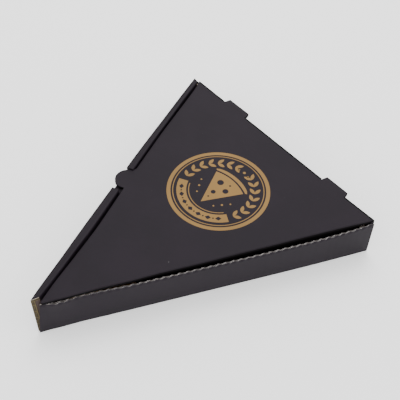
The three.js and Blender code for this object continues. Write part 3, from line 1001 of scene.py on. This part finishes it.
def lid_outline():
    """Outline of the lid's flat panel with its tabs, and the edges of it that are creases."""
    right_x = plan(RIGHT, *LID_RIGHT[0]).x
    left = plan(LEFT, *LID_LEFT_REAR)
    rear_y = REAR - MIDDLE
    edge_y = rear_y - HINGE_GAP
    cut_y = LID_TIP_CUT - MIDDLE
    outline = []
    creases = []

    def add(point, creased=False):
        outline.append(tuple(point))
        if creased:
            creases.append(len(outline) - 1)

    add((right_x, edge_y), creased=True)
    for middle, width, reach in reversed(REAR_TABS):
        half = width / 2
        add((middle + half, edge_y), creased=True)
        add((middle + half, rear_y))
        add((middle + half - TAB_SLANT, rear_y + reach))
        add((middle - half + TAB_SLANT, rear_y + reach))
        add((middle - half, rear_y))
        add((middle - half, edge_y))
    add((left.x, edge_y), creased=True)
    for s, w in (*LID_LEFT_BACK, LID_LEFT_STEP):
        add(plan(LEFT, s, w).xy, creased=True)
    for i in range(THUMB_STEPS + 1):
        turn = math.pi * i / THUMB_STEPS
        s = THUMB_S + THUMB_RADIUS * math.cos(turn)
        add(plan(LEFT, s, THUMB_W - THUMB_RADIUS * math.sin(turn)).xy)
    add(plan(LEFT, THUMB_S - THUMB_RADIUS, LID_LEFT_THUMB).xy)
    for s, w in LID_LEFT_FRONT:
        add(plan(LEFT, s, w).xy, creased=True)
    add(((LID_LEFT_FRONT[-1][1] - LID_TIP_CUT * SIN) / COS, cut_y), creased=True)
    add(((LID_TIP_CUT * SIN - LID_RIGHT_TIP) / COS, cut_y))
    for s, w in reversed(LID_RIGHT[1:]):
        add(plan(RIGHT, s, w).xy, creased=True)
    return outline, creases


def lid_panel():
    """Lid with painted shade on its cut edges and folded sides, mitred along the hinge crease and at its
    rear corners.
    """
    rear_y = REAR - MIDDLE
    outline, creases = lid_outline()
    bm = flat_board(outline, folded=creases, radius=LID_FOLD_RADIUS, side=SHADE)
    # Cut edges that face sideways or forwards take painted shade, as the folded sides do; faces towards
    # the rear keep the raw edge
    for face in bm.faces:
        if face.material_index == RAW and face.normal.y < SQUARELY:
            face.material_index = SHADE
        elif face.material_index == FOLD and face.calc_center_median().y < rear_y - BOARD:
            face.material_index = PRINT
    for vert in bm.verts:
        in_tab = any(abs(vert.co.x - m) < width / 2 + TINY for m, width, _ in REAR_TABS)
        at_crease = abs(vert.co.y - (rear_y - HINGE_GAP)) < TINY
        if vert.co.z > BOARD - TINY and at_crease and not in_tab:
            vert.co.y -= BOARD
            if abs(vert.co.x) > REAR_WIDTH / 2 - BOARD - ROLL_WIDTH:
                vert.co.x -= math.copysign(BOARD * SIN / COS, vert.co.x)
    bm.normal_update()
    for face in bm.faces:
        if face.material_index == SHADE and face.normal.z > MOSTLY:
            face.material_index = KRAFT
    map_flutes(bm, ACROSS_LID)
    slice_up(bm, 1, [rear_y - SKEW_REACH])
    fold(bm, lambda x, y, t: skewed(Vector((x, y, LID_TOP - t))))
    piece("lid_panel", bm, "lid", BOARD_FINISH)


def flap_depth(s):
    """Depth of the left tuck flap at s, which grows from the rear."""
    share = min(1, (FLAP_REAR_S - s) / FLAP_TAPER)
    return FLAP_REAR_DEPTH + (FLAP_DEPTH - FLAP_REAR_DEPTH) * share


def tuck_flap(name, side, rear, front, outline, creased):
    """Flap that hangs from the lid's edge between two of its points, leaning inwards."""
    start = plan(side, rear[0], rear[1] + FLAP_SET)
    along = (plan(side, front[0], front[1] + FLAP_SET) - start).normalized()
    inward = Vector((-along.y, along.x, 0)) * -side
    bm = flat_board(outline, folded=creased)
    # The flap's print takes painted shade, as it hangs in the gap beside the wall
    for face in bm.faces:
        if face.material_index in (PRINT, FOLD):
            face.material_index = SHADE
    map_flutes(bm, (COS, SIN) if side == LEFT else ACROSS_RIGHT)
    turn_cos = math.cos(FLAP_LEAN)
    turn_sin = math.sin(FLAP_LEAN)
    top = LID_TOP - FLAP_SET

    def place(a, b, t):
        into = -b * turn_sin + t * turn_cos
        height = top + b * turn_cos + t * turn_sin
        return start + along * a + inward * into + Vector((0, 0, min(height, top)))
    fold(bm, place)
    piece(name, bm, "lid", BOARD_FINISH)


def lid_flaps():
    """One tuck flap on the right and two on the left, beside the thumb tab."""
    rear = (RIGHT_FLAP_REAR_S, RIGHT_FLAP_W[0])
    front = (RIGHT_FLAP_TIP, RIGHT_FLAP_W[1])
    length = RIGHT_FLAP_REAR_S - RIGHT_FLAP_TIP
    outline = [(0, 0), (0, -FLAP_REAR_DEPTH), (FLAP_TAPER, -FLAP_DEPTH),
               (length - FLAP_TIP_SLANT, -FLAP_DEPTH), (length, 0)]
    tuck_flap("tuck_flap_right", RIGHT, rear, front, outline, (0,))

    rear = (FLAP_REAR_S, LEFT_FLAP_REAR_W[0])
    front = (LID_LEFT_STEP[0], LEFT_FLAP_REAR_W[1])
    length = FLAP_REAR_S - LID_LEFT_STEP[0]
    outline = [(0, 0), (0, -FLAP_REAR_DEPTH), (length, -flap_depth(LID_LEFT_STEP[0])), (length, 0)]
    tuck_flap("tuck_flap_left_rear", LEFT, rear, front, outline, (0,))

    start = LID_LEFT_STEP[0]
    length = start - LEFT_FLAP_TIP
    radius = THUMB_RADIUS + LOCK_CLEARANCE
    middle = start - THUMB_S
    arc = []
    for i in range(NOTCH_STEPS + 1):
        turn = math.pi * i / NOTCH_STEPS
        arc.append((middle + radius * math.cos(turn), -BOARD - radius * math.sin(turn)))
    outline = [(0, 0), (0, -flap_depth(start)), (FLAP_TAPER - (FLAP_REAR_S - start), -FLAP_DEPTH),
               (length - FLAP_TIP_SLANT, -FLAP_DEPTH), (length, 0),
               (middle + radius, 0), *arc, (middle - radius, 0)]
    tuck_flap(
        "tuck_flap_left_front", LEFT, (start, LEFT_FLAP_W[0]), (LEFT_FLAP_TIP, LEFT_FLAP_W[1]),
        outline, (5, 0),
    )


def hinge_crease():
    """Outer liner that runs on from the rear wall over the crease to the lid."""
    stops = [plan(LEFT, *LID_LEFT_REAR).x + SKIN]
    for middle, width, _ in REAR_TABS:
        stops += [middle - width / 2 - TAB_SLOT_SIDE, middle + width / 2 + TAB_SLOT_SIDE]
    stops.append(plan(RIGHT, *LID_RIGHT[0]).x - SKIN)
    out = SKIN / 2
    profile = [(out, -CREASE_REACH), (out, -3 * out)]
    for i in range(1, CREASE_STEPS):
        turn = math.pi / 2 * i / CREASE_STEPS
        profile.append((out * math.cos(turn), out * math.sin(turn)))
    profile += [(-3 * out, out), (-CREASE_REACH, out)]
    for number, (start, end) in enumerate(zip(stops[::2], stops[1::2]), 1):
        bm = bmesh.new()
        line = [(start, y + REAR - MIDDLE, z + LID_TOP) for y, z in profile]
        sweep(bm, line, (end - start, 0, 0))
        bmesh.ops.recalc_face_normals(bm, faces=bm.faces[:])
        bmesh.ops.solidify(bm, geom=bm.faces[:], thickness=-SKIN / 2)
        bm.loops.layers.uv.new("board")
        for vert in bm.verts:
            vert.co = skewed(vert.co)
        # The crease's paper takes the crease finish, with its painted shade
        crease = piece(f"hinge_crease_{number}", bm, None, (CREASE,))
        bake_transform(crease)


# Badge: a plain roundel with a slice and two ears of wheat, left bare by the print

BADGE_AT = (6.3 * MM, 183.7 * MM)
BADGE_RADIUS = 44.2 * MM
BADGE_RISE = 0.03 * MM
RING_BAND = 3.4 * MM
RING_GAP = 1.5 * MM
LINE_WIDTH = 0.8 * MM
BAND_RADIUS = 31.6 * MM
BAND_WIDTH = 8.4 * MM
BAND_ENDS = (208, 332)
BAND_LINE_RADIUS = 25.4 * MM
BAND_LINE_ENDS = (212, 328)
LOZENGE_START = 222
LOZENGE_TURN = 16
LOZENGE_COUNT = 7
LOZENGE = in_mm((2.1, 0), (0, 2.7), (-2.1, 0), (0, -2.7))
BAND_DOT = 0.75 * MM
WHEAT_RADIUS = 31 * MM
WHEAT_START = -19
WHEAT_TURN = 15
WHEAT_PAIRS = 7
GRAIN = (7.4 * MM, 3.2 * MM)
GRAIN_LEAN = 0.66
GRAIN_ROUNDNESS = 0.8
SLICE_TIP = -20 * MM
SLICE_TOP = 13 * MM
SLICE_WIDTH = 17 * MM
SLICE_RISE = 3.6 * MM
SLICE_STEPS = 16
CRUST_LOW = (1.06, 1.4 * MM, SLICE_RISE)
CRUST_HIGH = (1.14, 2.4 * MM, 5.8 * MM, 0.7)
FLECK_TONE = (0.05, 0.045, 0.05)
FLECK_AT = (37.4 * MM, 103.1 * MM)
FLECK_RADIUS = 0.4 * MM

# Round spots as x, y and radius from the badge's centre: holes in the slice, and dots about it
SLICE_HOLES = in_mm(
    (-5, 7, 2.9), (5.2, 3.4, 2.6), (-1.2, -4.8, 2.1), (3.2, 10.6, 0.9), (-0.4, -11.2, 0.8),
)
HOLE_STEPS = (28, 28, 24, 16, 16)
DOTS = in_mm(
    (0, 30.4, 1.3), (-5.6, 29.4, 0.9), (5.6, 29.4, 0.9), (-14.5, -9, 1), (14.5, -9, 1),
    (-10.5, -15, 0.8), (10.5, -15, 0.8), (-18.5, -3, 0.8), (18.5, -3, 0.8),
)
DOT_STEPS = 20


def turning(angle, radius):
    """Flat point at an angle in degrees about the badge's centre."""
    return radius * math.cos(math.radians(angle)), radius * math.sin(math.radians(angle))


def circle(radius, x=0.0, y=0.0, steps=96):
    points = [turning(360 * i / steps, radius) for i in range(steps)]
    return [(x + a, y + b) for a, b in points]


def turned(points, angle, x=0.0, y=0.0):
    cos, sin = math.cos(angle), math.sin(angle)
    return [(x + a * cos - b * sin, y + a * sin + b * cos) for a, b in points]


def badge_patch(bm, *loops):
    part = bmesh.new()
    close_loops(part, loops)
    bmesh.ops.recalc_face_normals(part, faces=part.faces[:])
    for face in part.faces:
        if face.normal.z < 0:
            face.normal_flip()
    mesh = mesh_from(part, "patch")
    bm.from_mesh(mesh)
    bpy.data.meshes.remove(mesh)


def badge_piece(name, patches):
    bm = bmesh.new()
    for loops in patches:
        badge_patch(bm, *loops)
    thicken(bm, BADGE_RISE)
    bm.loops.layers.uv.new("board")
    bmesh.ops.translate(
        bm, vec=(BADGE_AT[0], BADGE_AT[1] - MIDDLE, LID_TOP), verts=bm.verts,
    )
    piece(name, bm, "lid", (BADGE,))


def leaf(length, width, steps=8):
    """Pointed leaf from the origin along +Y."""
    side = [
        (width / 2 * math.sin(math.pi * i / steps) ** GRAIN_ROUNDNESS, length * i / steps)
        for i in range(1, steps)
    ]
    return [(0, 0), *side, (0, length), *[(-a, b) for a, b in reversed(side)]]


def badge_rings():
    thin_out = BADGE_RADIUS - RING_BAND - RING_GAP
    badge_piece("badge_rings", [
        (circle(BADGE_RADIUS), circle(BADGE_RADIUS - RING_BAND)),
        (circle(thin_out), circle(thin_out - LINE_WIDTH)),
    ])


def arc_band(radius, width, ends, steps=24):
    """Bent strip about the badge's centre, with its ends' angles in degrees."""
    start, end = ends
    turns = [start + (end - start) * i / steps for i in range(steps + 1)]
    outer = [turning(angle, radius + width / 2) for angle in turns]
    inner = [turning(angle, radius - width / 2) for angle in turns]
    return outer + inner[::-1]


def badge_band():
    """Filled arc under the slice, with a row of lozenges and dots left black in it."""
    holes = []
    for i in range(LOZENGE_COUNT):
        angle = LOZENGE_START + LOZENGE_TURN * i
        holes.append(turned(LOZENGE, math.radians(angle), *turning(angle, BAND_RADIUS)))
    for i in range(LOZENGE_COUNT - 1):
        angle = LOZENGE_START + LOZENGE_TURN * (i + 0.5)
        holes.append(circle(BAND_DOT, *turning(angle, BAND_RADIUS), 16))
    badge_piece("badge_band", [
        (arc_band(BAND_RADIUS, BAND_WIDTH, BAND_ENDS, 40), *holes),
        (arc_band(BAND_LINE_RADIUS, LINE_WIDTH, BAND_LINE_ENDS),),
    ])


def badge_wheat():
    """Two ears of wheat, each of paired grains along an arc."""
    patches = []
    grain = leaf(*GRAIN)
    for i in range(WHEAT_PAIRS):
        angle = WHEAT_START + WHEAT_TURN * i
        for lean in (GRAIN_LEAN, -GRAIN_LEAN):
            one = turned(grain, math.radians(angle) + lean, *turning(angle, WHEAT_RADIUS))
            patches.append((one,))
            patches.append(([(-a, b) for a, b in one],))
    badge_piece("badge_wheat", patches)


def slice_arc(wider, higher, rise, power=1):
    """Arc across the slice's top, from its right end to its left."""
    shares = [2 * i / SLICE_STEPS - 1 for i in range(SLICE_STEPS + 1)]
    return [
        (-SLICE_WIDTH * wider * share, SLICE_TOP + higher + rise * (1 - share ** 2) ** power)
        for share in shares
    ]


def badge_slice():
    """Slice with round holes left black in it, and its crust."""
    cheese = [(0, SLICE_TIP), *slice_arc(1, 0, SLICE_RISE)]
    holes = [circle(radius, x, y, steps) for (x, y, radius), steps in zip(SLICE_HOLES, HOLE_STEPS)]
    crust = slice_arc(*CRUST_HIGH) + slice_arc(*CRUST_LOW)[::-1]
    badge_piece("badge_slice", [(cheese, *holes), (crust,)])


def badge_dots():
    badge_piece("badge_dots", [(circle(radius, x, y, DOT_STEPS),) for x, y, radius in DOTS])


def badge():
    badge_rings()
    badge_band()
    badge_wheat()
    badge_slice()
    badge_dots()


def lid_fleck():
    """The one pale fleck of bare paper on the lid."""
    bm = bmesh.new()
    close_loops(bm, [circle(FLECK_RADIUS, FLECK_AT[0], FLECK_AT[1] - MIDDLE, 12)])
    thicken(bm, BADGE_RISE)
    bm.loops.layers.uv.new("board")
    bmesh.ops.translate(bm, vec=(0, 0, LID_TOP), verts=bm.verts)
    fleck, _ = plain("fleck", FLECK_TONE)
    piece("lid_fleck", bm, "lid", (fleck,))


floor_panel()
right_liner("right_wall_outer_liner", 0.0, 0.0, PRINT)
right_liner("right_wall_inner_liner", BOARD, BOARD - LINER, KRAFT)
right_flutes()
left_wall()
lock_tabs()
rear_wall()
corner_flaps()
lid_panel()
lid_flaps()
hinge_crease()
badge()
lid_fleck()

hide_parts("tray")
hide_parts("lid")


# Stage

FLOOR_SIZE = 3
FLOOR_TONE = (0.92, 0.92, 0.92)
FLOOR_GLOW = 0.4
KEY_AT = (-0.5, 0.6, 1.4)
KEY_SIZE = 1
KEY_POWER = 12
FILL_AT = (1, -1, 0.5)
FILL_SIZE = 0.9
FILL_POWER = 1.5
FILL_TINT = (0.7, 0.95, 1)
WORLD_POWER = 1.7


def stage():
    """Pale floor, with a little light of its own against the shade of the box."""
    bm = bmesh.new()
    bmesh.ops.create_grid(bm, x_segments=1, y_segments=1, size=FLOOR_SIZE)
    pale, inputs = plain("pale_floor", FLOOR_TONE)
    inputs["Roughness"].default_value = 0.9
    inputs["Emission Color"].default_value = (1, 1, 1, 1)
    inputs["Emission Strength"].default_value = FLOOR_GLOW
    new_object("floor", mesh_from(bm, "floor", (pale,)))


def lamp(name, place, size, power, tint=(1, 1, 1)):
    """Round soft lamp that points at the part."""
    light = bpy.data.lights.new(name, "AREA")
    light.shape = "DISK"
    light.size = size
    light.energy = power
    light.color = tint
    thing = new_object(name, light)
    thing.location = place
    thing.rotation_euler = (-Vector(place)).to_track_quat("-Z", "Y").to_euler()


def lights():
    lamp("key", KEY_AT, KEY_SIZE, KEY_POWER)
    lamp("fill", FILL_AT, FILL_SIZE, FILL_POWER, FILL_TINT)
    world = bpy.data.worlds.new("studio")
    world.use_nodes = True
    background = world.node_tree.nodes["Background"].inputs
    background["Color"].default_value = (1, 1, 1, 1)
    background["Strength"].default_value = WORLD_POWER
    bpy.context.scene.world = world


# Camera at the photograph's angle
AZIMUTH = math.radians(47.48)
ELEVATION = math.radians(49.47)
ROLL = math.radians(1.91)
DISTANCE = 697.2 * MM
SLIDE = (14.8 * MM, 30.8 * MM)
AIM_S = 150 * MM
FOCAL_PIXELS = 796.2
FRAME_PIXELS = 400
SENSOR = 36.0
CLIP_START = 0.01


def camera():
    """Camera that looks at the wedge's axis, slid and rolled a little as the photograph's was."""
    back = Vector((
        math.sin(AZIMUTH) * math.cos(ELEVATION),
        -math.cos(AZIMUTH) * math.cos(ELEVATION),
        math.sin(ELEVATION),
    ))
    level = (-back).cross(Vector((0, 0, 1))).normalized()
    above = level.cross(-back)
    right = level * math.cos(ROLL) + above * math.sin(ROLL)
    up = above * math.cos(ROLL) - level * math.sin(ROLL)
    place = Vector((0, AIM_S - MIDDLE, 0)) + back * DISTANCE + right * SLIDE[0] + up * SLIDE[1]
    lens = bpy.data.cameras.new("camera")
    lens.sensor_width = SENSOR
    lens.lens = FOCAL_PIXELS / FRAME_PIXELS * SENSOR
    lens.clip_start = CLIP_START
    thing = new_object("camera", lens)
    turn = Matrix((right, up, back)).transposed().to_4x4()
    thing.matrix_world = Matrix.Translation(place) @ turn
    bpy.context.scene.camera = thing


stage()
lights()
camera()
